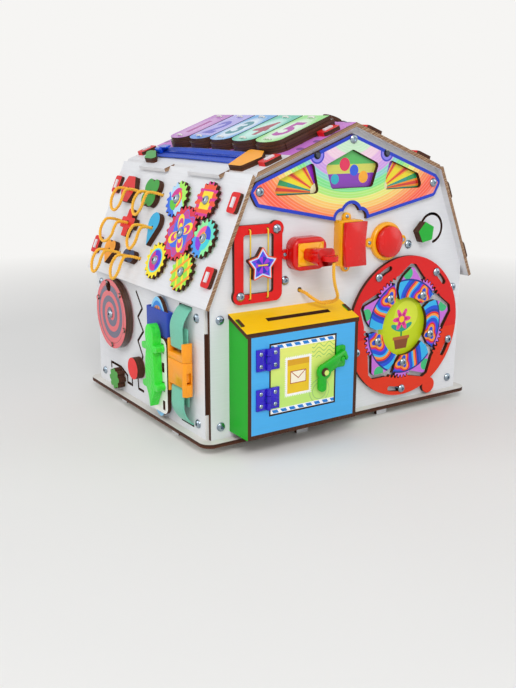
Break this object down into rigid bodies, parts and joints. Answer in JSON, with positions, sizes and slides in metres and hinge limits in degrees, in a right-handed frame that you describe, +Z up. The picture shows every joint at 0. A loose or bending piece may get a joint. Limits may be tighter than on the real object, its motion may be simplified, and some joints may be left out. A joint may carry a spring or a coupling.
{
  "type": "wooden busy house",
  "caption": "House-shaped plywood activity toy with an iris, letter box, gear train, maze disc, sorting shapes, bars, buckle and zip on its faces.",
  "frame": {"origin": "centre of the base plate's underside", "axes": "+X to the right of the front wall, +Y from the front wall to the back wall, +Z up"},
  "size_m": [0.366, 0.3218, 0.3188],
  "materials": {
    "birch": "bare plywood, burnt dark edges",
    "white_wood": "white painted plywood, burnt dark edges",
    "printed_wood": "plywood with a bright printed face",
    "red_wood": "red painted plywood",
    "orange_wood": "orange painted plywood",
    "yellow_wood": "yellow painted plywood",
    "green_wood": "green painted plywood",
    "lime_wood": "lime painted plywood",
    "blue_wood": "blue painted plywood",
    "sky_wood": "light blue painted plywood",
    "pink_wood": "pink painted plywood",
    "dark_wood": "dark slate painted plywood",
    "steel": "satin",
    "white_plastic": "satin",
    "red_plastic": "gloss",
    "yellow_plastic": "gloss",
    "orange_plastic": "gloss",
    "elastic": "woven elastic",
    "webbing": "woven webbing",
    "rope": "twisted cord",
    "cord": "braided cord"
  },
  "bodies": {
    "house": {"base_plate": "birch", "front_wall": "white_wood", "back_wall": "white_wood", "side_walls": "white_wood", "roof_panels": "white_wood", "corner_brackets": "white_plastic", "roof_lock_plates": "red_wood", "dome_bolts": "steel", "gable_board": "printed_wood", "window_lights": "printed_wood", "star_frame": "red_wood", "elastics": "elastic", "socket_housing": "red_plastic", "switch_box": "yellow_plastic", "bell_base": "yellow_plastic", "mailbox_sides": "green_wood", "mailbox_lid": "yellow_wood", "mailbox_front": "sky_wood", "mailbox_fittings": "blue_wood", "left_wall_boards": "printed_wood", "strap_lower": "webbing", "strap_upper": "webbing", "buckle_socket": "orange_plastic", "tether_cords": "rope", "xylophone": "pink_wood", "zip_track": "elastic"},
    "gear_large": {"gear_large": "red_wood"},
    "gear_small_1": {"gear_small_1": "sky_wood"},
    "gear_small_2": {"gear_small_2": "orange_wood"},
    "gear_small_3": {"gear_small_3": "blue_wood"},
    "gear_small_4": {"gear_small_4": "lime_wood"},
    "gear_small_5": {"gear_small_5": "yellow_wood"},
    "iris_ring": {"iris_ring": "red_wood"},
    "iris_petal_1": {"iris_petal_1": "blue_wood"},
    "iris_petal_2": {"iris_petal_2": "orange_wood"},
    "iris_petal_3": {"iris_petal_3": "red_wood"},
    "iris_petal_4": {"iris_petal_4": "blue_wood"},
    "iris_petal_5": {"iris_petal_5": "orange_wood"},
    "sorter_red": {"sorter_red": "red_wood"},
    "sorter_green": {"sorter_green": "green_wood"},
    "sorter_cross": {"sorter_cross": "red_wood"},
    "sorter_sky": {"sorter_sky": "sky_wood"},
    "sorter_orange": {"sorter_orange": "orange_wood"},
    "sorter_navy": {"sorter_navy": "blue_wood"},
    "star_bead": {"star_bead": "blue_wood"},
    "toy_plug": {"toy_plug": "red_plastic", "plug_cord": "cord"},
    "switch_rocker": {"switch_rocker": "red_plastic"},
    "bell_button": {"bell_button": "red_plastic"},
    "pentagon_knob": {"pentagon_knob": "green_wood"},
    "mailbox_door": {"mailbox_door": "lime_wood", "hinge_door_leaves": "blue_wood"},
    "latch_hook": {"latch_hook": "green_wood"},
    "maze_disc": {"maze_disc": "red_wood"},
    "zigzag_knob": {"zigzag_knob": "red_wood"},
    "star_knob": {"star_knob": "green_wood"},
    "crocodile": {"crocodile": "green_wood"},
    "buckle_plug": {"buckle_plug": "orange_plastic"},
    "zip_slider": {"zip_slider": "steel"},
    "spinner": {"spinner": "dark_wood"}
  },
  "joints": [
    {"name": "gear_large_spin", "type": "hinge", "parent": "house", "child": "gear_large", "pos_m": [-0.14695, -0.055, 0.19405], "axis": [-0.9182, 0, 0.3962], "continuous": true},
    {"name": "gear_small_1_spin", "type": "hinge", "parent": "house", "child": "gear_small_1", "pos_m": [-0.14695, -0.1, 0.19405], "axis": [-0.9182, 0, 0.3962], "continuous": true},
    {"name": "gear_small_2_spin", "type": "hinge", "parent": "house", "child": "gear_small_2", "pos_m": [-0.13253, -0.08145, 0.22747], "axis": [-0.9182, 0, 0.3962], "continuous": true},
    {"name": "gear_small_3_spin", "type": "hinge", "parent": "house", "child": "gear_small_3", "pos_m": [-0.13391, -0.02431, 0.22426], "axis": [-0.9182, 0, 0.3962], "continuous": true},
    {"name": "gear_small_4_spin", "type": "hinge", "parent": "house", "child": "gear_small_4", "pos_m": [-0.15999, -0.02431, 0.16383], "axis": [-0.9182, 0, 0.3962], "continuous": true},
    {"name": "gear_small_5_spin", "type": "hinge", "parent": "house", "child": "gear_small_5", "pos_m": [-0.16138, -0.08145, 0.16062], "axis": [-0.9182, 0, 0.3962], "continuous": true},
    {"name": "iris_ring_turn", "type": "hinge", "parent": "house", "child": "iris_ring", "pos_m": [0.078, -0.13, 0.0875], "axis": [0, -1, 0], "range_deg": [0, 14]},
    {"name": "iris_petal_1_swing", "type": "hinge", "parent": "house", "child": "iris_petal_1", "pos_m": [0.10224, -0.13, 0.11932], "axis": [0, -1, 0], "range_deg": [0, 49]},
    {"name": "iris_petal_2_swing", "type": "hinge", "parent": "house", "child": "iris_petal_2", "pos_m": [0.05523, -0.13, 0.12039], "axis": [0, -1, 0], "range_deg": [0, 49]},
    {"name": "iris_petal_3_swing", "type": "hinge", "parent": "house", "child": "iris_petal_3", "pos_m": [0.03969, -0.13, 0.07601], "axis": [0, -1, 0], "range_deg": [0, 49]},
    {"name": "iris_petal_4_swing", "type": "hinge", "parent": "house", "child": "iris_petal_4", "pos_m": [0.07709, -0.13, 0.04751], "axis": [0, -1, 0], "range_deg": [0, 49]},
    {"name": "iris_petal_5_swing", "type": "hinge", "parent": "house", "child": "iris_petal_5", "pos_m": [0.11575, -0.13, 0.07428], "axis": [0, -1, 0], "range_deg": [0, 49]},
    {"name": "sorter_red_lift", "type": "slide", "parent": "house", "child": "sorter_red", "axis": [-0.9182, 0, 0.3962], "range_m": [0, 0.006]},
    {"name": "sorter_green_lift", "type": "slide", "parent": "house", "child": "sorter_green", "axis": [-0.9182, 0, 0.3962], "range_m": [0, 0.006]},
    {"name": "sorter_cross_lift", "type": "slide", "parent": "house", "child": "sorter_cross", "axis": [-0.9182, 0, 0.3962], "range_m": [0, 0.006]},
    {"name": "sorter_sky_lift", "type": "slide", "parent": "house", "child": "sorter_sky", "axis": [-0.9182, 0, 0.3962], "range_m": [0, 0.006]},
    {"name": "sorter_orange_lift", "type": "slide", "parent": "house", "child": "sorter_orange", "axis": [-0.9182, 0, 0.3962], "range_m": [0, 0.006]},
    {"name": "sorter_navy_lift", "type": "slide", "parent": "house", "child": "sorter_navy", "axis": [-0.9182, 0, 0.3962], "range_m": [0, 0.006]},
    {"name": "star_bead_slide", "type": "slide", "parent": "house", "child": "star_bead", "axis": [0, 0, 1], "range_m": [-0.008, 0.008]},
    {"name": "toy_plug_pull", "type": "slide", "parent": "house", "child": "toy_plug", "axis": [0, -1, 0], "range_m": [0, 0.01]},
    {"name": "switch_rocker_tilt", "type": "hinge", "parent": "house", "child": "switch_rocker", "pos_m": [-0.0045, -0.1395, 0.185], "axis": [1, 0, 0], "range_deg": [-6, 6]},
    {"name": "bell_button_press", "type": "slide", "parent": "house", "child": "bell_button", "axis": [0, 1, 0], "range_m": [0, 0.003], "stiffness_N_per_m": 300},
    {"name": "pentagon_knob_slide", "type": "hinge", "parent": "house", "child": "pentagon_knob", "pos_m": [0.1145, -0.13, 0.191], "axis": [0, 1, 0], "range_deg": [0, 264]},
    {"name": "mailbox_door_swing", "type": "hinge", "parent": "house", "child": "mailbox_door", "pos_m": [-0.12, -0.16535, 0.066], "axis": [0, 0, -1], "range_deg": [0, 110]},
    {"name": "latch_hook_turn", "type": "hinge", "parent": "mailbox_door", "child": "latch_hook", "pos_m": [-0.056, -0.163, 0.066], "axis": [0, -1, 0], "range_deg": [0, 90]},
    {"name": "maze_disc_spin", "type": "hinge", "parent": "house", "child": "maze_disc", "pos_m": [-0.166, 0.067, 0.094], "axis": [-1, 0, 0], "continuous": true},
    {"name": "zigzag_knob_slide", "type": "slide", "parent": "house", "child": "zigzag_knob", "axis": [0, 0.4472, -0.8944], "range_m": [-0.013, 0.013]},
    {"name": "star_knob_slide", "type": "slide", "parent": "house", "child": "star_knob", "axis": [0, 0, 1], "range_m": [0, 0.011]},
    {"name": "crocodile_lift", "type": "slide", "parent": "house", "child": "crocodile", "axis": [-1, 0, 0], "range_m": [0, 0.012]},
    {"name": "buckle_plug_pull", "type": "slide", "parent": "house", "child": "buckle_plug", "axis": [0, 0, 1], "range_m": [0, 0.018], "deforming": ["strap_upper"]},
    {"name": "zip_slider_slide", "type": "slide", "parent": "house", "child": "zip_slider", "axis": [0, -1, 0], "range_m": [0, 0.14]},
    {"name": "spinner_spin", "type": "hinge", "parent": "house", "child": "spinner", "pos_m": [0.02638, -0.082, 0.29239], "axis": [0.3579, 0, 0.9337], "continuous": true}
  ],
  "couplings": [
    {"joint": "gear_small_1_spin", "follows": "gear_large_spin", "ratio": -1.5},
    {"joint": "gear_small_2_spin", "follows": "gear_large_spin", "ratio": -1.5},
    {"joint": "gear_small_3_spin", "follows": "gear_large_spin", "ratio": -1.5},
    {"joint": "gear_small_4_spin", "follows": "gear_large_spin", "ratio": -1.5},
    {"joint": "gear_small_5_spin", "follows": "gear_large_spin", "ratio": -1.5},
    {"joint": "iris_petal_1_swing", "follows": "iris_ring_turn", "ratio": 3.5},
    {"joint": "iris_petal_2_swing", "follows": "iris_ring_turn", "ratio": 3.5},
    {"joint": "iris_petal_3_swing", "follows": "iris_ring_turn", "ratio": 3.5},
    {"joint": "iris_petal_4_swing", "follows": "iris_ring_turn", "ratio": 3.5},
    {"joint": "iris_petal_5_swing", "follows": "iris_ring_turn", "ratio": 3.5}
  ]
}
